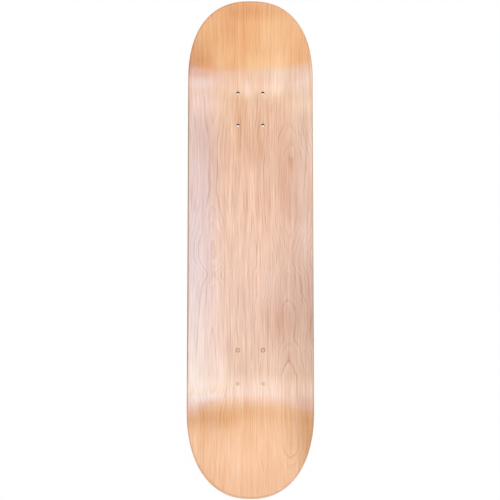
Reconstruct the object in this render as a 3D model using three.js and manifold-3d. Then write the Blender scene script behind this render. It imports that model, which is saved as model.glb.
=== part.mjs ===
// Skateboard deck: seven maple veneers glued and pressed into one dished board with two kicks
// Millimetres. X runs across the deck, +Y towards the tail, -Y towards the nose, Z up.
// The origin is on the resting face, midway between the two truck bolt patterns.

import * as THREE from 'three';
import { mergeVertices } from 'three/addons/utils/BufferGeometryUtils.js';
import Module from 'manifold-3d';

const wasm = await Module();
wasm.setup();

// Laminate
const veneerThickness = 1.5;
const glueThickness = 0.1;

// Overall
const deckWidth = 206.4;
const wheelbase = 371.5;
const railRadius = 3.2;

// Truck bolt patterns
const boltSpacingAcross = 41.3;
const boltSpacingAlong = 54;
const boltHoleRadius = 2.7;
const drillOverrun = 5;

// Pressed dish: a flat seat for the trucks, then arcs that climb to the rails
const seatWidth = 64;
const dishDepth = 10.4;

// Each end: length is from the outer bolts to the tip of the top face, level with the seat. The bend
// starts a setback past the outer bolts, and foldBow further out at the rails. taperLength is the
// rounded stretch of the outline, measured along the board.
const nose = {
  side: -1,
  length: 177.5,
  bendSetback: 10,
  foldBow: 10,
  bendRadius: 150,
  kickAngle: THREE.MathUtils.degToRad(20.5),
  taperLength: 145,
  taperExponent: 2.24,
  tipDishShare: 0.3,
};
const tail = {
  side: 1,
  length: 145,
  bendSetback: 16,
  foldBow: 0,
  bendRadius: 150,
  kickAngle: THREE.MathUtils.degToRad(20),
  taperLength: 130,
  taperExponent: 2.35,
  tipDishShare: 0.3,
};

// Facets: the outline's steps keep at least the gap share of the taper away from the bend's end
const bendSteps = 4;
const taperSteps = 10;
const dishSteps = 3;
const holeSides = 8;
const stationGapShare = 0.05;

// The stack from the top face down: each veneer is glued to the next
const veneers = [
  { name: 'top_face_ply', colour: 0xebc5a2, roughness: 0.42 },
  { name: 'upper_core_ply', colour: 0xe2bb90, roughness: 0.6 },
  { name: 'upper_crossband_ply', colour: 0xc99a6b, roughness: 0.7 },
  { name: 'middle_core_ply', colour: 0xe2bb90, roughness: 0.6 },
  { name: 'lower_crossband_ply', colour: 0xc99a6b, roughness: 0.7 },
  { name: 'lower_core_ply', colour: 0xe2bb90, roughness: 0.6 },
  { name: 'bottom_face_ply', colour: 0xebc5a2, roughness: 0.42 },
];
const glueColour = 0x9c7550;
const glueRoughness = 0.5;

const deckThickness = veneers.length * veneerThickness + (veneers.length - 1) * glueThickness;
const halfWidth = deckWidth / 2;
const dishRun = halfWidth - seatWidth / 2;
const dishRadius = (dishRun ** 2 + dishDepth ** 2) / (2 * dishDepth);

// Lengths measured along the board from the start of the bend
for (const end of [nose, tail]) {
  end.bendStart = wheelbase / 2 + boltSpacingAlong + end.bendSetback;
  end.bendLength = end.bendRadius * end.kickAngle;
  const bendReach = end.bendRadius * Math.sin(end.kickAngle);
  const straightReach = end.length - end.bendSetback - bendReach;
  end.kickLength = end.bendLength + straightReach / Math.cos(end.kickAngle);
  end.taperStart = end.kickLength - end.taperLength;
}

// Side profile of one end: a bend of constant radius, then straight to the tip
function kick(end, run, across) {
  const fold = end.foldBow * (across / halfWidth) ** 2;
  const tilt = THREE.MathUtils.clamp((run - fold) / end.bendRadius, 0, end.kickAngle);
  const straight = run - fold - tilt * end.bendRadius;
  return {
    tilt,
    out: fold + end.bendRadius * Math.sin(tilt) + straight * Math.cos(tilt),
    up: end.bendRadius * (1 - Math.cos(tilt)) + straight * Math.sin(tilt),
  };
}

// Cross-section: height and slope of the dish, which fades towards the tip
function dish(end, run, across) {
  const climb = Math.max(Math.abs(across) - seatWidth / 2, 0);
  const level = Math.sqrt(dishRadius ** 2 - climb ** 2);
  const fadeShare = THREE.MathUtils.smoothstep(run, 0, end.kickLength);
  const keptShare = THREE.MathUtils.lerp(1, end.tipDishShare, fadeShare);
  return { height: keptShare * (dishRadius - level), slope: (keptShare * climb) / level };
}

// Rounded rail: how far the edge is drawn in at a depth below the top face
function railInset(depth) {
  const nearestFace = Math.min(depth, deckThickness - depth);
  const lack = THREE.MathUtils.clamp(railRadius - nearestFace, 0, railRadius);
  return railRadius - Math.sqrt(railRadius ** 2 - lack ** 2);
}

// Half the width of the drawn-in outline, for a share of the taper from 0 to 1
function outlineHalf(end, taperShare, inset) {
  const remainder = 1 - Math.max(taperShare, 0) ** end.taperExponent;
  return (halfWidth - inset) * remainder ** (1 / end.taperExponent);
}

// Places along one end where the outline and the bend are stepped, from the bend to the tip
function endStations(end) {
  const stations = [];
  for (let step = 0; step <= bendSteps; step += 1) {
    const run = (end.bendLength * step) / bendSteps;
    stations.push({ end, taperShare: (run - end.taperStart) / end.taperLength });
  }
  const bendEndShare = (end.bendLength - end.taperStart) / end.taperLength;
  for (let step = 1; step <= taperSteps; step += 1) {
    const angle = ((Math.PI / 2) * step) / taperSteps;
    const taperShare = Math.sin(angle) ** (2 / end.taperExponent);
    if (step === taperSteps) {
      stations.push({ end, taperShare: 1 });
    } else if (taperShare > bendEndShare + stationGapShare) {
      stations.push({ end, taperShare });
    }
  }
  return stations;
}

const stations = [...endStations(nose).reverse(), ...endStations(tail)];
const tipRows = [0, stations.length - 1];

// Columns across the deck, as shares of the half width: the seat's edges and steps up the dish
const columnShares = [];
for (let step = dishSteps; step >= 0; step -= 1) {
  columnShares.push(-(seatWidth / 2 + (dishRun * step) / dishSteps) / halfWidth);
}
columnShares.push(...columnShares.map((share) => -share).reverse());

// A point of the pressed surface that lies a depth below the top face
function pressedPoint({ end, taperShare }, columnShare, depth) {
  const inset = railInset(depth);
  const drawnTaper = taperShare > 0 ? end.taperLength - inset : end.taperLength;
  const run = end.taperStart + taperShare * drawnTaper;
  const across = columnShare * outlineHalf(end, taperShare, inset);
  const { tilt, out, up } = kick(end, run, across);
  const { height, slope } = dish(end, run, across);
  const lift = height - depth * Math.hypot(1, slope);
  return [
    across,
    end.side * (end.bendStart + out - lift * Math.sin(tilt)),
    deckThickness + up + lift * Math.cos(tilt),
  ];
}

// One pressed sheet between the first and last of its depths; the others only shape its edge
function pressedSheet(depths) {
  const positions = [];
  const triangles = [];
  const vertexNumbers = new Map();
  const lastColumn = columnShares.length - 1;
  const lastLevel = depths.length - 1;

  function vertex(row, column, level) {
    const key = `${row} ${tipRows.includes(row) ? 0 : column} ${level}`;
    if (!vertexNumbers.has(key)) {
      vertexNumbers.set(key, vertexNumbers.size);
      positions.push(...pressedPoint(stations[row], columnShares[column], depths[level]));
    }
    return vertexNumbers.get(key);
  }

  function triangle(a, b, c) {
    if (a !== b && b !== c && c !== a) {
      triangles.push(a, b, c);
    }
  }

  // Corners run anticlockwise as seen from outside
  function quad(a, b, c, d, splitAtA) {
    if (splitAtA) {
      triangle(a, b, c);
      triangle(a, c, d);
    } else {
      triangle(a, b, d);
      triangle(b, c, d);
    }
  }

  for (let row = 0; row < stations.length - 1; row += 1) {
    const next = row + 1;
    for (let column = 0; column < lastColumn; column += 1) {
      const side = column + 1;
      const leftHalf = columnShares[column] < 0;
      const above = [[row, column], [row, side], [next, side], [next, column]];
      const [a, b, c, d] = above.map((corner) => vertex(...corner, 0));
      quad(a, b, c, d, leftHalf);
      const [e, f, g, h] = above.map((corner) => vertex(...corner, lastLevel));
      quad(f, e, h, g, !leftHalf);
    }
    for (let level = 0; level < lastLevel; level += 1) {
      const deeper = level + 1;
      const right = [[row, deeper], [next, deeper], [next, level], [row, level]];
      const [a, b, c, d] = right.map(([at, depth]) => vertex(at, lastColumn, depth));
      quad(a, b, c, d, true);
      const [e, f, g, h] = right.map(([at, depth]) => vertex(at, 0, depth));
      quad(f, e, h, g, false);
    }
  }
  return new wasm.Manifold(
    new wasm.Mesh({
      numProp: 3,
      vertProperties: new Float32Array(positions),
      triVerts: new Uint32Array(triangles),
    }),
  );
}

// A merged, closed copy of a three.js geometry as a solid
function solidOf(geometry) {
  const bare = geometry.clone();
  bare.deleteAttribute('normal');
  bare.deleteAttribute('uv');
  const merged = mergeVertices(bare);
  return new wasm.Manifold(
    new wasm.Mesh({
      numProp: 3,
      vertProperties: new Float32Array(merged.attributes.position.array),
      triVerts: new Uint32Array(merged.index.array),
    }),
  );
}

// The eight drilled holes, as upright prisms through the whole stack
function truckBoltHoles() {
  const height = deckThickness + 2 * drillOverrun;
  const drill = new THREE.CylinderGeometry(boltHoleRadius, boltHoleRadius, height, holeSides);
  drill.rotateY(Math.PI / holeSides);
  drill.rotateX(Math.PI / 2);
  const holes = [];
  for (const side of [nose.side, tail.side]) {
    for (const along of [wheelbase / 2, wheelbase / 2 + boltSpacingAlong]) {
      for (const across of [-boltSpacingAcross / 2, boltSpacingAcross / 2]) {
        const hole = drill.clone().translate(across, side * along, deckThickness / 2);
        holes.push(solidOf(hole));
      }
    }
  }
  return holes;
}

const boltHoles = truckBoltHoles();

// A named sheet of the laminate, drilled for the truck bolts
function laminateSheet(name, depths, colour, roughness) {
  const drilled = boltHoles.reduce((sheet, hole) => sheet.subtract(hole), pressedSheet(depths));
  const { vertProperties, triVerts } = drilled.getMesh();
  const geometry = new THREE.BufferGeometry();
  geometry.setAttribute('position', new THREE.BufferAttribute(vertProperties, 3));
  geometry.setIndex(new THREE.BufferAttribute(triVerts, 1));
  geometry.computeVertexNormals();
  const material = new THREE.MeshStandardMaterial({ color: colour, roughness, metalness: 0 });
  const sheet = new THREE.Mesh(geometry, material);
  sheet.name = name;
  return sheet;
}

const deck = new THREE.Group();
deck.name = 'skateboard_deck';
veneers.forEach(({ name, colour, roughness }, index) => {
  const top = index * (veneerThickness + glueThickness);
  const bottom = top + veneerThickness;
  const isFace = index === 0 || index === veneers.length - 1;
  const depths = isFace ? [top, (top + bottom) / 2, bottom] : [top, bottom];
  deck.add(laminateSheet(name, depths, colour, roughness));
  if (index < veneers.length - 1) {
    const film = [bottom, bottom + glueThickness];
    deck.add(laminateSheet(`glue_film_${index + 1}`, film, glueColour, glueRoughness));
  }
});

export default deck;
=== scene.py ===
"""Looks of a bare maple skateboard deck: seven veneers and six glue lines, in metres.

X runs across the deck, +Y towards the tail, -Y towards the nose, Z up out of the dished face.
"""

import math

import bpy
from mathutils.kdtree import KDTree
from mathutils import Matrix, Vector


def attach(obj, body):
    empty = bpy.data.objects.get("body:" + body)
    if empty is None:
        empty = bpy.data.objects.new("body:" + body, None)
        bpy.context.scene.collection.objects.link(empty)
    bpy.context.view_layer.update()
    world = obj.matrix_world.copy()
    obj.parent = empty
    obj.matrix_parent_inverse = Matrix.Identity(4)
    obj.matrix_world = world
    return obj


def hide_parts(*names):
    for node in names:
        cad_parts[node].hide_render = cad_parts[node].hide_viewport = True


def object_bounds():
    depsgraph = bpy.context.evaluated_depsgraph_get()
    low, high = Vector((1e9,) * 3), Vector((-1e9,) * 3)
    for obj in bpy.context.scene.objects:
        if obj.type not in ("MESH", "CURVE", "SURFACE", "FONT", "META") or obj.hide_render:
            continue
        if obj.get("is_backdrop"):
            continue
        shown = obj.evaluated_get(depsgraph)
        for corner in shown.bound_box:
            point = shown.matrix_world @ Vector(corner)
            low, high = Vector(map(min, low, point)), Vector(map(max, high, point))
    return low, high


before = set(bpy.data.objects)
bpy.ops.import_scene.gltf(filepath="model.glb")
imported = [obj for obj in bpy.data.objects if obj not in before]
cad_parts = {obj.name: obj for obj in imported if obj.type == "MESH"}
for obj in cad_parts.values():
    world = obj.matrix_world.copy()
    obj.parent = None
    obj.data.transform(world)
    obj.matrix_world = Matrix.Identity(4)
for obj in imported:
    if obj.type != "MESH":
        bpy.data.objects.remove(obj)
cad_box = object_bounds()

MM = 0.001

# Laminate from the top face down: each veneer's node and its material slot
PLIES = [
    ("top_face_ply", "face_maple"),
    ("upper_core_ply", "core_maple"),
    ("upper_crossband_ply", "crossband_maple"),
    ("middle_core_ply", "core_maple"),
    ("lower_crossband_ply", "crossband_maple"),
    ("lower_core_ply", "core_maple"),
    ("bottom_face_ply", "face_maple"),
]
VENEER = 1.5 * MM
GLUE = 0.1 * MM
THICKNESS = len(PLIES) * VENEER + (len(PLIES) - 1) * GLUE

# Deck
HALF_WIDTH = 103.2 * MM
WHEELBASE = 371.5 * MM
RAIL_RADIUS = 3.2 * MM
BEND_RADIUS = 150 * MM
SEAT_HALF = 32 * MM
DISH_DEPTH = 10.4 * MM
DISH_RUN = HALF_WIDTH - SEAT_HALF
DISH_RADIUS = (DISH_RUN**2 + DISH_DEPTH**2) / (2 * DISH_DEPTH)
TIP_DISH_SHARE = 0.3

# Truck bolt holes
BOLT_ACROSS = 41.3 * MM
BOLT_ALONG = 54 * MM
BOLT_RADIUS = 2.7 * MM
HOLE_SIDES = 40

# Fineness of the meshes
BEND_STEPS = 16
TAPER_STEPS = 60
FLAT_STEPS = 30
DISH_STEPS = 10
SEAT_STEPS = 4
FACE_EDGE_STEPS = 7
CORE_EDGE_STEPS = 3
SAME_PLACE = VENEER / 1000
SHARP_ANGLE = math.radians(50)


class End:
    """One kicked end: where it folds, how it rises and how its outline tapers."""

    def __init__(self, side, length, setback, bow, kick_degrees, taper_length, taper_exponent):
        self.side = side
        self.bow = bow
        self.kick_angle = math.radians(kick_degrees)
        self.taper_length = taper_length
        self.exponent = taper_exponent
        self.bend_start = WHEELBASE / 2 + BOLT_ALONG + setback
        self.bend_length = BEND_RADIUS * self.kick_angle
        reach = length - setback - BEND_RADIUS * math.sin(self.kick_angle)
        self.kick_length = self.bend_length + reach / math.cos(self.kick_angle)
        self.taper_start = self.kick_length - taper_length

    def kick(self, run, across):
        """Tilt, reach and rise of the top face at a distance run past the fold."""
        fold = self.bow * (across / HALF_WIDTH) ** 2
        tilt = min(max((run - fold) / BEND_RADIUS, 0), self.kick_angle)
        straight = run - fold - tilt * BEND_RADIUS
        out = fold + BEND_RADIUS * math.sin(tilt) + straight * math.cos(tilt)
        up = BEND_RADIUS * (1 - math.cos(tilt)) + straight * math.sin(tilt)
        return tilt, out, up

    def dish(self, run, across):
        """Height and slope of the dish, which fades towards the tip."""
        climb = max(abs(across) - SEAT_HALF, 0)
        level = math.sqrt(DISH_RADIUS**2 - climb**2)
        fade = min(max(run / self.kick_length, 0), 1)
        kept = 1 + (TIP_DISH_SHARE - 1) * fade * fade * (3 - 2 * fade)
        return kept * (DISH_RADIUS - level), kept * climb / level

    def half(self, taper, inset):
        """Half the outline's width for a share of the taper."""
        remainder = 1 - max(taper, 0) ** self.exponent
        return (HALF_WIDTH - inset) * remainder ** (1 / self.exponent)

    def point(self, taper, column, depth):
        """The place on the pressed board, and on the flat veneer, of a point at a depth."""
        inset = rail_inset(depth)
        drawn = self.taper_length - inset if taper > 0 else self.taper_length
        run = self.taper_start + taper * drawn
        across = column * self.half(taper, inset)
        tilt, out, up = self.kick(run, across)
        height, slope = self.dish(run, across)
        lift = height - depth * math.hypot(1, slope)
        y = self.side * (self.bend_start + out - lift * math.sin(tilt))
        z = THICKNESS + up + lift * math.cos(tilt)
        return (across, y, z), (across, self.side * (self.bend_start + run), depth)

    def tapers(self):
        """Shares of the taper from the fold to the tip where the outline is stepped."""
        steps = [step / BEND_STEPS * self.bend_length for step in range(BEND_STEPS + 1)]
        shares = [(run - self.taper_start) / self.taper_length for run in steps]
        fold_end = shares[-1]
        gap = (shares[-1] - shares[-2]) / 2
        for step in range(1, TAPER_STEPS):
            angle = math.pi / 2 * step / TAPER_STEPS
            share = math.sin(angle) ** (2 / self.exponent)
            if share > fold_end + gap:
                shares.append(share)
        return shares + [1]


def rail_inset(depth):
    """How far the rounded rail is drawn in at a depth below the top face."""
    nearest = min(depth, THICKNESS - depth)
    lack = min(max(RAIL_RADIUS - nearest, 0), RAIL_RADIUS)
    return RAIL_RADIUS - math.sqrt(RAIL_RADIUS**2 - lack**2)


NOSE = End(
    side=-1,
    length=177.5 * MM,
    setback=10 * MM,
    bow=10 * MM,
    kick_degrees=20.5,
    taper_length=145 * MM,
    taper_exponent=2.24,
)
TAIL = End(
    side=1,
    length=145 * MM,
    setback=16 * MM,
    bow=0,
    kick_degrees=20,
    taper_length=130 * MM,
    taper_exponent=2.35,
)


def deck_stations():
    """Every row of the deck's grid from the nose tip to the tail tip."""
    rows = [(NOSE, taper) for taper in reversed(NOSE.tapers())]
    flat = NOSE.bend_start + TAIL.bend_start
    for step in range(1, FLAT_STEPS):
        run = flat * step / FLAT_STEPS - flat
        rows.append((TAIL, (run - TAIL.taper_start) / TAIL.taper_length))
    return rows + [(TAIL, taper) for taper in TAIL.tapers()]


def deck_columns():
    """Shares of the half width at every column of the grid, left to right."""
    seat = SEAT_HALF / HALF_WIDTH
    right = [seat + (1 - seat) * step / DISH_STEPS for step in range(1, DISH_STEPS + 1)]
    middle = [seat * (2 * step / SEAT_STEPS - 1) for step in range(SEAT_STEPS + 1)]
    return [-share for share in reversed(right)] + middle + right


STATIONS = deck_stations()
COLUMNS = deck_columns()


def bolt_drills():
    """One mesh of eight upright cylinders that cuts the truck bolt holes."""
    vertices = []
    faces = []
    low, high = -THICKNESS, 2 * THICKNESS
    for side in (-1, 1):
        for along in (WHEELBASE / 2, WHEELBASE / 2 + BOLT_ALONG):
            for across in (-BOLT_ACROSS / 2, BOLT_ACROSS / 2):
                first = len(vertices)
                for z in (low, high):
                    for step in range(HOLE_SIDES):
                        angle = 2 * math.pi * step / HOLE_SIDES
                        x = across + BOLT_RADIUS * math.cos(angle)
                        y = side * along + BOLT_RADIUS * math.sin(angle)
                        vertices.append((x, y, z))
                lower = [first + step for step in range(HOLE_SIDES)]
                upper = [index + HOLE_SIDES for index in lower]
                faces.append(list(reversed(lower)))
                faces.append(upper)
                for step in range(HOLE_SIDES):
                    after = (step + 1) % HOLE_SIDES
                    faces.append([lower[step], lower[after], upper[after], upper[step]])
    mesh = bpy.data.meshes.new("bolt_drills")
    mesh.from_pydata(vertices, [], faces)
    mesh.materials.append(burnt_bore())
    drills = bpy.data.objects.new("bolt_drills", mesh)
    bpy.context.scene.collection.objects.link(drills)
    return drills


def pressed_sheet(depths):
    """Vertices, faces and flat places of one closed sheet; its inner depths shape its edge."""
    vertices = []
    flat_places = []
    faces = []
    numbers = {}
    last_row = len(STATIONS) - 1
    last_column = len(COLUMNS) - 1
    last_level = len(depths) - 1

    def vertex(row, column, level):
        at_tip = row in (0, last_row)
        key = (row, 0 if at_tip else column, level)
        if key not in numbers:
            numbers[key] = len(vertices)
            end, taper = STATIONS[row]
            place, flat_place = end.point(taper, COLUMNS[column], depths[level])
            vertices.append(place)
            flat_places.append(flat_place)
        return numbers[key]

    def face(*corners):
        distinct = list(dict.fromkeys(corners))
        if len(distinct) > 2:
            faces.append(distinct)

    for row in range(last_row):
        after = row + 1
        for column in range(last_column):
            beside = column + 1
            corners = [(row, column), (row, beside), (after, beside), (after, column)]
            face(*[vertex(*corner, 0) for corner in corners])
            face(*[vertex(*corner, last_level) for corner in reversed(corners)])
        for level in range(last_level):
            deeper = level + 1
            corners = [(row, deeper), (after, deeper), (after, level), (row, level)]
            face(*[vertex(at, last_column, depth) for at, depth in corners])
            face(*[vertex(at, 0, depth) for at, depth in reversed(corners)])
    return vertices, faces, flat_places


def laid_flat(place):
    """The place on the flat veneer of a drilled vertex, which lies between the folds."""
    return (place.x, place.y, THICKNESS - place.z)


def drilled(name, vertices, faces, flat_places, material, drills):
    """A sheet cut through by the bolt holes, which keeps its places on the flat veneer."""
    mesh = bpy.data.meshes.new(f"{name}_undrilled")
    mesh.from_pydata(vertices, [], faces)
    mesh.materials.append(material)
    sheet = bpy.data.objects.new(f"{name}_shaped", mesh)
    bpy.context.scene.collection.objects.link(sheet)
    cut = sheet.modifiers.new("bolt_holes", "BOOLEAN")
    cut.object = drills
    cut.operation = "DIFFERENCE"
    cut.solver = "EXACT"
    cut.material_mode = "TRANSFER"
    graph = bpy.context.evaluated_depsgraph_get()
    sheet.data = bpy.data.meshes.new_from_object(sheet.evaluated_get(graph))
    sheet.modifiers.clear()
    bpy.data.meshes.remove(mesh)

    known = KDTree(len(vertices))
    for number, place in enumerate(vertices):
        known.insert(place, number)
    known.balance()
    flat = sheet.data.attributes.new("veneer", "FLOAT_VECTOR", "POINT")
    for vertex, stored in zip(sheet.data.vertices, flat.data):
        _, number, distance = known.find(vertex.co)
        kept = distance < SAME_PLACE
        stored.vector = flat_places[number] if kept else laid_flat(vertex.co)
    sheet.data.polygons.foreach_set("use_smooth", [True] * len(sheet.data.polygons))
    sheet.data.set_sharp_from_angle(angle=SHARP_ANGLE)
    return sheet


def spaced(start, stop, steps):
    """Evenly spaced depths from start to stop."""
    return [start + (stop - start) * step / steps for step in range(steps + 1)]


class Shader:
    """Short calls for building one material's node tree."""

    def __init__(self, name):
        self.material = bpy.data.materials.new(name)
        self.material.use_nodes = True
        self.tree = self.material.node_tree
        self.tree.nodes.clear()

    def node(self, kind, inputs=None, **settings):
        made = self.tree.nodes.new(kind)
        for key, value in settings.items():
            setattr(made, key, value)
        for key, value in (inputs or {}).items():
            if isinstance(value, bpy.types.NodeSocket):
                self.tree.links.new(value, made.inputs[key])
            else:
                made.inputs[key].default_value = value
        return made

    def math(self, operation, a, b=0.0, clamp=False):
        made = self.node("ShaderNodeMath", {0: a, 1: b}, operation=operation, use_clamp=clamp)
        return made.outputs[0]

    def add(self, first, *others):
        for other in others:
            first = self.math("ADD", first, other)
        return first

    def times(self, first, *others):
        for other in others:
            first = self.math("MULTIPLY", first, other)
        return first

    def absolute(self, value):
        return self.math("ABSOLUTE", value)

    def noise(self, vector, detail):
        inputs = {"Vector": vector, "Scale": 1.0, "Detail": detail}
        return self.node("ShaderNodeTexNoise", inputs).outputs["Fac"]

    def stretched(self, vector, across, along, deep, offset=(0, 0, 0)):
        """The vector divided by the sizes of a pattern's cell, in metres."""
        scale = (1 / across, 1 / along, 1 / deep)
        inputs = {"Vector": vector, "Location": offset, "Scale": scale}
        return self.node("ShaderNodeMapping", inputs).outputs["Vector"]

    def ranged(self, value, low, high, out_low=0.0, out_high=1.0, smooth=False):
        made = self.node(
            "ShaderNodeMapRange",
            {0: value, 1: low, 2: high, 3: out_low, 4: out_high},
            interpolation_type="SMOOTHSTEP" if smooth else "LINEAR",
        )
        return made.outputs[0]

    def mixed(self, factor, a, b, blend="MIX"):
        made = self.node("ShaderNodeMix", data_type="RGBA", blend_type=blend)
        for index, value in ((0, factor), (6, a), (7, b)):
            if isinstance(value, bpy.types.NodeSocket):
                self.tree.links.new(value, made.inputs[index])
            elif index:
                made.inputs[index].default_value = (*value, 1)
            else:
                made.inputs[index].default_value = value
        return made.outputs[2]

    def blend(self, tone, pale, deep):
        """Pale at a tone of 0 and deep at 1, carried on past both."""
        made = self.node("ShaderNodeMix", {0: tone}, data_type="RGBA", clamp_factor=False)
        made.inputs[6].default_value = (*pale, 1)
        made.inputs[7].default_value = (*deep, 1)
        return made.outputs[2]

    def bumped(self, **inputs):
        return self.node("ShaderNodeBump", inputs).outputs["Normal"]


def linear(red, green, blue):
    """Scene-linear colour of an sRGB colour given in steps of 255."""

    def one(step):
        share = step / 255
        return share / 12.92 if share <= 0.04045 else ((share + 0.055) / 1.055) ** 2.4

    return (one(red), one(green), one(blue))


def veneer_place(wood):
    """The place on the flat veneer, and its parts across, along and below the top face."""
    place = wood.node("ShaderNodeAttribute", attribute_name="veneer").outputs["Vector"]
    parts = wood.node("ShaderNodeSeparateXYZ", {"Vector": place}).outputs
    return place, parts["X"], parts["Y"], parts["Z"]


def hole_distance(wood, across, along):
    """How far a place is from the axis of the nearest truck bolt hole."""
    truck = WHEELBASE / 2 + BOLT_ALONG / 2
    beside = wood.add(wood.absolute(across), -BOLT_ACROSS / 2)
    from_truck = wood.absolute(wood.add(wood.absolute(along), -truck))
    ahead = wood.add(from_truck, -BOLT_ALONG / 2)
    return wood.math("SQRT", wood.add(wood.times(beside, beside), wood.times(ahead, ahead)))


def burnt_bore():
    """The drilled wall, singed dark by the bit and left unlacquered."""
    wood = Shader("burnt_bore")
    place = wood.node("ShaderNodeTexCoord").outputs["Object"]
    dark_share = wood.noise(wood.stretched(place, 0.6 * MM, 0.6 * MM, 0.3 * MM), detail=2)
    colour = wood.mixed(wood.ranged(dark_share, 0.3, 0.7), linear(66, 20, 10), linear(100, 38, 22))
    principled = wood.node(
        "ShaderNodeBsdfPrincipled",
        {"Base Color": colour, "Roughness": 0.9, "Specular IOR Level": 0.0},
    )
    wood.node("ShaderNodeOutputMaterial", {"Surface": principled.outputs[0]})
    return wood.material


# Flat-cut figure: two columns of rings side by side, with straight grain between them
COLUMN_SPACING = 127 * MM
COLUMN_MIDDLE = 1.5 * MM
COLUMN_RINGS = 10.4
POINTEDNESS = 0.96

# Each rise adds rings to a column towards the nose: its place and stretch in millimetres, and rings
RIGHT_RISES = [
    (176, 40, 1.3),
    (142, 34, 1.2),
    (-2, 80, -2.6),
    (-56, 24, 1.4),
    (-104, 26, 1.6),
    (-178, 26, 1.4),
    (-214, 34, 1.2),
    (-362, 46, -2.2),
]
LEFT_RISES = [
    (200, 120, 2.0),
    (30, 110, -3.0),
    (-50, 30, 2.0),
    (-72, 26, -1.3),
    (-150, 120, -1.0),
    (-262, 60, 2.3),
]

# Streaks of fibres: their size across, along and deep in millimetres, their strength and offset
FIBRES = [
    (28, 500, 20, 0.26, (4, 2, 7)),
    (13, 420, 12, 0.26, (2, 9, 1)),
    (6.5, 340, 6, 0.24, (5, 5, 3)),
    (3.2, 220, 4, 0.34, (8, 3, 4)),
    (1.7, 110, 2, 0.66, (1, 6, 9)),
    (0.6, 40, 0.7, 1.0, (6, 6, 2)),
]

# Patches: place across and along, half width and half length in millimetres, then an amount.
# Here it is the depth of tone that a patch adds: partly the wood's own tone and partly painted
# sheen and painted shade, most along the folds and at the rails.
TONE_PATCHES = [
    # Tail kick and its fold
    (-92, 300, 48, 46, 0.2),
    (-85, 300, 50, 75, 0.36),
    (-8, 325, 14, 70, 0.1),
    (33, 318, 30, 76, -0.28),
    (60, 325, 50, 80, -0.08),
    (80, 305, 22, 60, 0.2),
    (0, 376, 90, 24, 0.42),
    (-30, 345, 60, 56, 0.3),
    (46, 270, 24, 44, -0.28),
    (44, 288, 70, 28, -0.3),
    (-84, 278, 50, 24, 0.44),
    (-86, 256, 50, 16, -0.4),
    (6, 286, 40, 24, -0.35),
    (86, 262, 40, 34, -0.3),
    (-55, 252, 26, 40, 0.2),
    (-58, 288, 24, 16, -0.25),
    (-10, 262, 62, 22, 0.06),
    (-86, 271, 40, 12, 0.18),
    (-100, 283, 14, 12, 0.2),
    # Tail truck and the flat
    (0, 160, 50, 60, 0.2),
    (76, 62, 22, 76, 0.25),
    (0, 250, 160, 24, -0.36),
    (-80, 222, 44, 32, -0.25),
    (34, 246, 26, 30, -0.36),
    (-6, 243, 12, 26, -0.34),
    (-18, 202, 16, 60, 0.42),
    (-30, 140, 120, 55, 0.09),
    (56, 118, 24, 110, 0.24),
    (86, 75, 16, 46, -0.25),
    (88, 222, 34, 30, -0.2),
    (100, 150, 16, 80, -0.25),
    (92, -5, 22, 70, -0.34),
    (58, 62, 12, 44, 0.18),
    # Nose truck and the nose kick
    (-84, -190, 60, 90, -0.2),
    (-86, -238, 46, 44, -0.45),
    (38, -140, 46, 60, 0.34),
    (70, -128, 56, 90, 0.16),
    (-40, -146, 24, 54, -0.1),
    (-48, -220, 24, 56, -0.46),
    (54, -150, 24, 40, 0.12),
    (100, -150, 16, 46, 0.22),
    (-96, -215, 36, 70, -0.28),
    (96, -254, 20, 30, -0.3),
    (0, -248, 160, 34, -0.5),
    (-36, -300, 26, 28, 0.28),
    (0, -292, 130, 32, 0.16),
    (-84, -300, 60, 34, 0.32),
    (95, -300, 60, 50, 0.3),
    (90, -345, 28, 60, 0.36),
    (-40, -362, 60, 50, -0.2),
    (20, -368, 60, 50, -0.1),
]

# Painted shade, and painted light where the amount is below 0, with some greyer wood: the share of
# the colour that a patch takes away
SHADE_PATCHES = [
    # Tail kick and its fold
    (-104, 300, 70, 90, 0.1),
    (-6, 330, 34, 70, -0.06),
    (-86, 272, 44, 16, -0.15),
    (-6, 268, 66, 20, -0.04),
    (-78, 283, 20, 14, -0.12),
    # Tail truck and the flat
    (96, -110, 95, 190, 0.2),
    (-100, -20, 90, 280, 0.1),
    (0, 130, 150, 140, 0.1),
    (-88, 172, 44, 44, 0.08),
    (80, 50, 50, 80, 0.06),
    (0, 110, 50, 150, -0.05),
    (86, 222, 36, 30, -0.08),
    # Nose truck and the nose kick
    (104, -320, 62, 110, 0.2),
    (0, -246, 160, 30, -0.04),
    (-96, -190, 36, 80, 0.04),
    (96, -254, 20, 30, -0.02),
    (4, -345, 70, 80, -0.05),
    (-80, -296, 60, 40, 0.1),
    (-86, -238, 46, 44, 0.06),
]

# Places where the lacquer lies thinner over the folds: the change of its weight
COAT_PATCHES = [
    (-86, 270, 60, 16, -0.3),
    (0, 270, 80, 18, -0.3),
    (-88, -272, 50, 14, -0.35),
]

# The face veneer's colours at a tone of 0 and of 1
PALE_MAPLE = linear(220, 169, 124)
DEEP_MAPLE = linear(195, 124, 34)

# Casts over those colours. A kick's own cast begins and is full at these places along the veneer;
# the tail's lies further out towards the right rail, by the skew from its start on. The casts of
# the flat and the tail, and the scale of the two colours, follow the program that fitted the lamps.
# The flat's cast, with less red, and the tail's deeper orange are partly the wood's own colour and
# partly painted light: they stand in for the sheen on the flat and the light falling differently on
# the flat and on the kicks.
FLAT_CAST = (0.916, 1, 1)
TAIL_CAST = (0.977, 0.876, 0.6)
NOSE_CAST = (1, 1, 1)
UNDERSIDE_CAST = (0.97, 0.93, 0.8)
CAST_START = 262 * MM
CAST_FULL = 290 * MM
SKEW_START = -20 * MM
SKEW = -0.09


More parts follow.
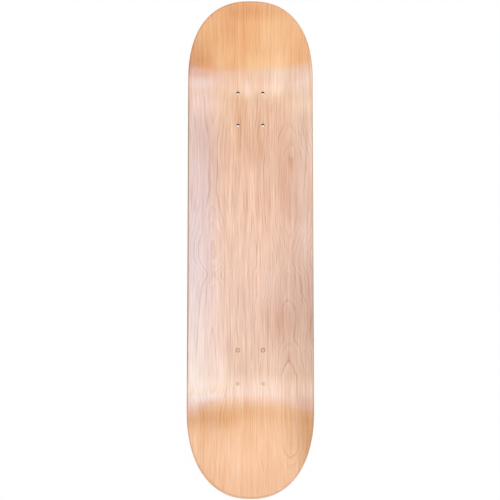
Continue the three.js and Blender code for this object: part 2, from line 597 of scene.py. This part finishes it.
def soft_patch(wood, place, across, along, half_width, half_length):
    """1 at the middle of an ellipse on the veneer, falling smoothly to 0 at its rim."""
    middle, size = (across, along, 0), (1 / half_width, 1 / half_length, 0)
    offset = wood.node("ShaderNodeVectorMath", {0: place, 1: middle}, operation="SUBTRACT")
    scaled = wood.node(
        "ShaderNodeVectorMath", {0: offset.outputs[0], 1: size}, operation="MULTIPLY"
    )
    length = wood.node("ShaderNodeVectorMath", {0: scaled.outputs[0]}, operation="LENGTH")
    return wood.ranged(length.outputs["Value"], 1, 0, smooth=True)


def patched(wood, place, patches):
    """The sum of every soft patch times its amount."""
    total = 0.0
    for *ellipse, amount in patches:
        patch = soft_patch(wood, place, *[size * MM for size in ellipse])
        total = wood.add(total, wood.times(patch, amount))
    return total


def bent_grain(wood, place, across):
    """Two bent copies of the place across: for the fibres and, more rippled, for the rings."""
    slow = wood.noise(wood.stretched(place, 50 * MM, 210 * MM, 9 * MM), detail=1)
    quick = wood.noise(wood.stretched(place, 12 * MM, 30 * MM, 5 * MM, (3, 7, 0)), detail=2)
    fibres = wood.add(across, wood.times(wood.add(slow, -0.5), 14 * MM))
    return fibres, wood.add(fibres, wood.times(wood.add(quick, -0.5), 3.4 * MM))


def ring_count(wood, place, bent, along, depth):
    """Growth rings counted across the veneer, with each column's rises added along it."""
    turned = wood.times(wood.add(bent, -COLUMN_MIDDLE), math.pi / COLUMN_SPACING)
    pointed = wood.math("ARCSINE", wood.times(wood.math("SINE", turned), POINTEDNESS))
    count = wood.times(pointed, COLUMN_RINGS / math.asin(POINTEDNESS))
    right = wood.ranged(bent, -30 * MM, 50 * MM, smooth=True)
    left = wood.ranged(bent, 30 * MM, -50 * MM, smooth=True)
    for share, rises in ((right, RIGHT_RISES), (left, LEFT_RISES)):
        added = 0.0
        for centre, stretch, rings in rises:
            low, high = (centre - stretch / 2) * MM, (centre + stretch / 2) * MM
            added = wood.add(added, wood.ranged(along, low, high, rings, 0, smooth=True))
        count = wood.add(count, wood.times(share, added))
    uneven = wood.noise(wood.stretched(place, 30 * MM, 200 * MM, 9 * MM, (11, 2, 5)), detail=3)
    return wood.add(count, wood.times(uneven, 2.2), wood.times(depth, -0.3 / MM))


def ring_tone(wood, place, count):
    """Depth of tone of a ring: a slow darkening that ends in a thin line, uneven in strength."""
    through = wood.math("FRACT", count)
    rise = wood.ranged(through, 0.62, 0.92, smooth=True)
    fall = wood.ranged(through, 1.0, 0.95, smooth=True)
    number = wood.math("FLOOR", count)
    chance = wood.node("ShaderNodeTexWhiteNoise", {"W": number}, noise_dimensions="1D")
    marked = wood.ranged(wood.math("POWER", chance.outputs["Value"], 3), 0, 1, 0.16, 1)
    patchy = wood.noise(wood.stretched(place, 12 * MM, 60 * MM, 6 * MM, (5, 1, 9)), detail=2)
    line = wood.times(rise, fall, marked, wood.ranged(patchy, 0.35, 0.62, 0.2, 1), 0.5)
    return wood.add(line, wood.ranged(through, 0.1, 0.95, -0.035, 0.035))


def fibre_tone(wood, fibres, along, depth):
    """Depth of tone from long streaks of several widths, centred on zero."""
    flow = wood.node("ShaderNodeCombineXYZ", {0: fibres, 1: along, 2: depth}).outputs[0]
    total = 0.0
    for *cell, amount, offset in FIBRES:
        sizes = [size * MM for size in cell]
        streak = wood.noise(wood.stretched(flow, *sizes, offset), detail=1.5)
        total = wood.add(total, wood.times(wood.add(streak, -0.5), amount))
    return total


def broad_tone(wood, place, from_middle):
    """Slow drifts and clouds of tone, a little deeper down the middle."""
    drift = wood.noise(wood.stretched(place, 60 * MM, 200 * MM, 20 * MM, (1, 4, 0)), detail=3)
    clouds = wood.noise(wood.stretched(place, 20 * MM, 46 * MM, 20 * MM, (4, 8, 6)), detail=3)
    return wood.add(
        wood.ranged(drift, 0.25, 0.75, 0.1, 0.24),
        wood.ranged(clouds, 0.3, 0.7, -0.05, 0.05),
        wood.ranged(from_middle, 95 * MM, 30 * MM, 0, 0.05, smooth=True),
    )


def fleck_tone(wood, place):
    """Short ray flecks everywhere and a few darker mineral streaks."""
    rays = wood.noise(wood.stretched(place, 0.6 * MM, 3.4 * MM, 2 * MM, (9, 2, 7)), detail=1)
    streaks = wood.noise(wood.stretched(place, 2.2 * MM, 9 * MM, 3 * MM, (7, 5, 3)), detail=1)
    return wood.add(wood.ranged(rays, 0.66, 0.8, 0, 0.3), wood.ranged(streaks, 0.78, 0.86, 0, 0.5))


def mouth_ring(wood, across, along):
    """How dark the ring round a bolt hole's mouth is, which is most at the inner nose holes."""
    from_inner = wood.absolute(wood.add(along, WHEELBASE / 2))
    dark_share = wood.ranged(from_inner, 10 * MM, 20 * MM, 2.6, 0.3)
    distance = hole_distance(wood, across, along)
    return wood.ranged(distance, BOLT_RADIUS + 1.2 * MM, BOLT_RADIUS, 0, dark_share)


def face_cast(wood, across, along, top_side):
    """The cast of the flat, of each kick and of the underside; on the top face it is partly painted
    light.
    """
    skewed = wood.add(along, wood.times(wood.math("MAXIMUM", across, SKEW_START), SKEW))
    tailwards = wood.ranged(skewed, CAST_START, CAST_FULL, smooth=True)
    nosewards = wood.ranged(along, -CAST_START, -CAST_FULL, smooth=True)
    cast = wood.mixed(tailwards, FLAT_CAST, TAIL_CAST)
    cast = wood.mixed(nosewards, cast, NOSE_CAST)
    return wood.mixed(top_side, UNDERSIDE_CAST, cast)


def lacquered(wood, colour, roughness, normal, coat=1.0, coat_roughness=0.2):
    """Wood under a clear satin lacquer."""
    inputs = {
        "Base Color": colour,
        "Roughness": roughness,
        "Normal": normal,
        "IOR": 1.5,
        "Specular IOR Level": 0.5,
        "Coat Weight": coat,
        "Coat Roughness": coat_roughness,
        "Coat IOR": 1.6,
        "Coat Normal": normal,
    }
    principled = wood.node("ShaderNodeBsdfPrincipled", inputs)
    wood.node("ShaderNodeOutputMaterial", {"Surface": principled.outputs[0]})
    return wood.material


def face_maple():
    """Flat-cut maple: ring figure, fibres, flecks and broad changes of tone under lacquer, with
    painted sheen and shade in patches, casts and at the rails.
    """
    wood = Shader("face_maple")
    place, across, along, depth = veneer_place(wood)
    top_side = wood.ranged(depth, 4 * MM, 2 * MM)
    from_middle = wood.absolute(wood.add(across, -2 * MM))
    nearest_face = wood.math("MINIMUM", depth, wood.math("SUBTRACT", THICKNESS, depth))
    rail = wood.ranged(nearest_face, 0, 0.5 * MM, smooth=True)
    mouth = mouth_ring(wood, across, along)

    # The figure is stronger between the trucks than on the kicks
    flatness = wood.ranged(wood.absolute(along), 300 * MM, 200 * MM, smooth=True)
    fibres, bent = bent_grain(wood, place, across)
    streaks = fibre_tone(wood, fibres, along, depth)
    streaks = wood.times(streaks, wood.ranged(flatness, 0, 1, 1.3, 1.5))
    rings = ring_tone(wood, place, ring_count(wood, place, bent, along, depth))
    rings = wood.times(rings, wood.ranged(flatness, 0, 1, 1.2, 2.1))

    # Colour from the depth of tone
    tone = wood.add(
        streaks,
        rings,
        broad_tone(wood, place, from_middle),
        # tone patches: the wood's own tone with painted sheen and painted shade
        wood.times(patched(wood, place, TONE_PATCHES), top_side),
        fleck_tone(wood, place),
        wood.times(mouth, 0.6),
        # painted shade: the rails deeper in tone
        wood.times(rail, 0.2),
    )
    colour = wood.blend(tone, PALE_MAPLE, DEEP_MAPLE)
    # casts: partly painted light on the flat and the kicks
    colour = wood.mixed(1.0, colour, face_cast(wood, across, along, top_side), "MULTIPLY")

    # Shade: the share of the colour lost to painted shade at the rails, most on the left rail
    # between the trucks, and at the holes, in patches and in streaks
    rail_painted_shade = wood.ranged(flatness, 0, 1, 0.1, wood.ranged(across, -60 * MM, 60 * MM, 0.55, 0.3))
    greyed = wood.times(flatness, wood.ranged(from_middle, 70 * MM, 20 * MM, 0.12, 0.3))
    shade = wood.add(
        # painted shade at the rails, most on the left one
        wood.times(rail, rail_painted_shade),
        wood.times(mouth, 0.22),
        # shade patches: painted shade and painted light, with some greyer wood
        wood.times(patched(wood, place, SHADE_PATCHES), top_side),
        wood.times(streaks, greyed),
    )
    kept = {0: colour, "Scale": wood.math("SUBTRACT", 1, shade)}
    colour = wood.node("ShaderNodeVectorMath", kept, operation="SCALE").outputs[0]

    # Relief: fibres under the lacquer and the slow unevenness of a pressed board
    swell = wood.noise(wood.stretched(place, 48 * MM, 75 * MM, 30 * MM, (3, 3, 8)), detail=1.5)
    fibrous = wood.bumped(Height=streaks, Distance=0.05 * MM)
    normal = wood.bumped(Height=swell, Distance=0.5 * MM, Normal=fibrous)

    # Lacquer: thinner over the folds, and left off round the darkest hole rings
    bare = wood.ranged(mouth, 0.4, 1.2)
    roughness = wood.add(wood.ranged(streaks, -0.2, 0.2, 0.38, 0.28), wood.times(bare, 0.5))
    thinner = wood.times(patched(wood, place, COAT_PATCHES), top_side)
    coat = wood.math("ADD", wood.math("SUBTRACT", 1, bare), thinner, clamp=True)
    return lacquered(wood, colour, roughness, normal, coat)


def edge_wood(name, pale, dark, across, along, deep, roughness):
    """Sanded veneer edge: streaks of two tones with cells of the given sizes."""
    wood = Shader(name)
    place = veneer_place(wood)[0]
    broad = wood.noise(wood.stretched(place, across, along, deep, (2, 5, 1)), detail=3)
    thin = wood.noise(wood.stretched(place, across / 5, along / 5, deep / 3, (7, 1, 4)), detail=2)
    tone = wood.add(wood.times(broad, 0.55), wood.times(thin, 0.45))
    colour = wood.mixed(wood.ranged(tone, 0.3, 0.7), pale, dark)
    satin = wood.ranged(tone, 0.3, 0.7, roughness, roughness + 0.12)
    normal = wood.bumped(Height=tone, Distance=0.04 * MM)
    return lacquered(wood, colour, satin, normal, coat_roughness=0.3)


def core_maple():
    pale, dark = linear(236, 190, 142), linear(212, 158, 108)
    return edge_wood("core_maple", pale, dark, 1.6 * MM, 30 * MM, 0.5 * MM, 0.5)


def crossband_maple():
    pale, dark = linear(208, 156, 110), linear(172, 120, 78)
    return edge_wood("crossband_maple", pale, dark, 14 * MM, 1.1 * MM, 0.5 * MM, 0.62)


def resin_glue():
    pale, dark = linear(176, 128, 84), linear(140, 96, 60)
    return edge_wood("glue", pale, dark, 4 * MM, 6 * MM, 1 * MM, 0.45)


def add_sheet(node, depths, material, drills):
    sheet = drilled(node, *pressed_sheet(depths), material, drills)
    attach(sheet, "root")
    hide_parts(node)


def build_deck():
    drills = bolt_drills()
    materials = {
        "face_maple": face_maple(),
        "core_maple": core_maple(),
        "crossband_maple": crossband_maple(),
        "glue": resin_glue(),
    }
    for index, (node, slot) in enumerate(PLIES):
        steps = FACE_EDGE_STEPS if slot == "face_maple" else CORE_EDGE_STEPS
        top = index * (VENEER + GLUE)
        bottom = top + VENEER
        add_sheet(node, spaced(top, bottom, steps), materials[slot], drills)
        if index < len(PLIES) - 1:
            film = f"glue_film_{index + 1}"
            add_sheet(film, [bottom, bottom + GLUE], materials["glue"], drills)
    bpy.data.objects.remove(drills)


# Camera: two metres above the deck, on the nose side of the inner nose bolts
EYE = (-0.7 * MM, -193.5 * MM, THICKNESS + 1989 * MM)
LEAN = math.radians(4.94)
FOCAL_PX = 1215
FRAME_PX = 500
SENSOR_MM = 36


def add_camera():
    """Looks down on the dished face, leaning a little towards the tail."""
    data = bpy.data.cameras.new("camera")
    camera = bpy.data.objects.new("camera", data)
    bpy.context.scene.collection.objects.link(camera)
    bpy.context.scene.camera = camera
    data.sensor_width = SENSOR_MM
    data.lens = SENSOR_MM * FOCAL_PX / FRAME_PX
    camera.location = EYE
    camera.rotation_euler = (LEAN, 0, 0)


# Floor: a wide sheet of paper just under the deck
FLOOR_HALF = 6
FLOOR_DROP = 0.1 * MM
GLOW_SHARE = 0.97


def add_floor():
    """White paper with a painted shadow where the deck lies on it, warm and darker towards the
    nose, and seen only from above.
    """
    paper = Shader("white_floor")
    place = paper.node("ShaderNodeTexCoord").outputs["Object"]
    # painted shadow under the deck, seen through the bolt holes
    painted_shadow_mask = paper.ranged(soft_patch(paper, place, 0, 0, 60 * MM, 290 * MM), 0, 0.02)
    along = paper.node("ShaderNodeSeparateXYZ", {"Vector": place}).outputs["Y"]
    tailwards = paper.ranged(along, -WHEELBASE / 2, WHEELBASE / 2)
    # the painted shadow's colour, darker towards the nose
    warm = paper.mixed(tailwards, linear(233, 194, 168), linear(255, 236, 222))
    colour = paper.mixed(painted_shadow_mask, (1, 1, 1), warm)
    glow = paper.node("ShaderNodeEmission", {"Color": colour, "Strength": 1.0}).outputs[0]
    matt = paper.node("ShaderNodeBsdfDiffuse", {"Color": (0.8, 0.8, 0.8, 1)}).outputs[0]
    white = paper.node("ShaderNodeMixShader", {0: GLOW_SHARE, 1: matt, 2: glow}).outputs[0]
    camera_ray = paper.node("ShaderNodeLightPath").outputs["Is Camera Ray"]
    below = paper.node("ShaderNodeNewGeometry").outputs["Backfacing"]
    seen = paper.math("SUBTRACT", camera_ray, below, clamp=True)
    clear = paper.node("ShaderNodeBsdfTransparent").outputs[0]
    surface = paper.node("ShaderNodeMixShader", {0: seen, 1: clear, 2: white}).outputs[0]
    paper.node("ShaderNodeOutputMaterial", {"Surface": surface})

    mesh = bpy.data.meshes.new("floor")
    low, high = -FLOOR_HALF, FLOOR_HALF
    corners = [(low, low, 0), (high, low, 0), (high, high, 0), (low, high, 0)]
    mesh.from_pydata(corners, [], [(0, 1, 2, 3)])
    mesh.materials.append(paper.material)
    floor = bpy.data.objects.new("floor", mesh)
    floor.location.z = -FLOOR_DROP
    bpy.context.scene.collection.objects.link(floor)
    floor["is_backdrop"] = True


# Distant lamps, each as where it stands in the sky in degrees from straight up, and its radiance.
# Both spans give where the lamp starts, is full, is still full and ends: first from the nose side
# to the tail side, then from left to right. The radiances weren't chosen by hand: a least-squares
# program fitted them to the photo's colours, all but those of nose_right and the windows.
LAMPS = {
    "nose_left": ((-9, -5, -1, 2), (-50, -40, -16, -10), (0.30, 0.88, 2.05)),
    "nose_middle": ((-2.5, -0.5, -0.5, 2), (-16, -10, 10, 16), (0.30, 1.76, 3.95)),
    "nose_right": ((-3, -1, 0, 2), (10, 16, 40, 50), (1.60, 3.00, 3.80)),
    "low_left": ((-1, 2, 4, 7), (-50, -40, -16, -10), (0.30, 0.00, 0.55)),
    "low_middle": ((-1, 2, 4, 7), (-16, -10, 10, 16), (1.15, 1.68, 3.31)),
    "low_right": ((-1, 2, 4, 7), (10, 16, 40, 50), (2.24, 4.75, 8.28)),
    "high_left": ((4, 7, 9, 12), (-50, -40, -16, -10), (0.30, 0.00, 1.48)),
    "high_middle": ((4, 7, 9, 12), (-16, -10, 10, 16), (1.55, 0.73, 1.29)),
    "high_right": ((4, 7, 9, 12), (10, 16, 40, 50), (0.51, 1.94, 4.54)),
    "tail_left": ((9, 12, 13, 15.5), (-50, -40, -16, -10), (0.30, 2.28, 3.98)),
    "tail_middle": ((9, 12, 13, 15.5), (-16, -10, 10, 16), (0.93, 0.63, 1.12)),
    "tail_right": ((9, 12, 13, 15.5), (10, 16, 40, 50), (0.30, 0.65, 3.19)),
    "far_middle": ((13, 15.5, 19, 22), (-16, -10, 10, 16), (0.30, 0.29, 0.06)),
    "tail_window_left": ((26, 40, 60, 75), (-50, -30, -10, 10), (0.80, 0.78, 0.75)),
    "tail_window_right": ((26, 40, 60, 75), (-10, 10, 50, 70), (0.80, 0.78, 0.75)),
    "nose_window_left": ((-60, -45, -22, -12), (-50, -30, -10, 10), (0.80, 0.78, 0.75)),
    "nose_window_right": ((-60, -45, -22, -12), (-10, 10, 50, 70), (0.80, 0.78, 0.75)),
}
ROOM = (0.90, 0.87, 0.84)


class Sky(Shader):
    """Node calls for the world, which stands for a studio's distant lamps."""

    def __init__(self, world):
        world.use_nodes = True
        self.tree = world.node_tree
        self.tree.nodes.clear()

    def span(self, angle, *degrees):
        """1 between the two full angles, falling smoothly to 0 at the outer ones."""
        start, full, still_full, end = [math.radians(degree) for degree in degrees]
        rise = self.ranged(angle, start, full, smooth=True)
        fall = self.ranged(angle, end, still_full, smooth=True)
        return self.times(rise, fall)


def add_world():
    """Lamps in a warm room; the camera itself sees white."""
    world = bpy.data.worlds.new("studio")
    bpy.context.scene.world = world
    sky = Sky(world)
    direction = sky.node("ShaderNodeTexCoord").outputs["Generated"]
    parts = sky.node("ShaderNodeSeparateXYZ", {"Vector": direction}).outputs
    along = sky.math("ARCTAN2", parts["Y"], parts["Z"])
    aside = sky.math("ARCTAN2", parts["X"], parts["Z"])
    light = ROOM
    for along_span, aside_span, radiance in LAMPS.values():
        mask = sky.times(sky.span(along, *along_span), sky.span(aside, *aside_span))
        lamp = sky.mixed(mask, (0, 0, 0), radiance)
        light = sky.mixed(1.0, light, lamp, "ADD")
    camera_ray = sky.node("ShaderNodeLightPath").outputs["Is Camera Ray"]
    colour = sky.mixed(camera_ray, light, (1, 1, 1))
    background = sky.node("ShaderNodeBackground", {"Color": colour, "Strength": 1.0})
    sky.node("ShaderNodeOutputWorld", {"Surface": background.outputs[0]})


bpy.context.scene.view_settings.view_transform = "Standard"
add_camera()
add_floor()
add_world()
build_deck()

visual_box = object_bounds()
boxes = {"cad": cad_box, "visual": visual_box}
boxes = {name: [list(corner) for corner in box] for name, box in boxes.items()}
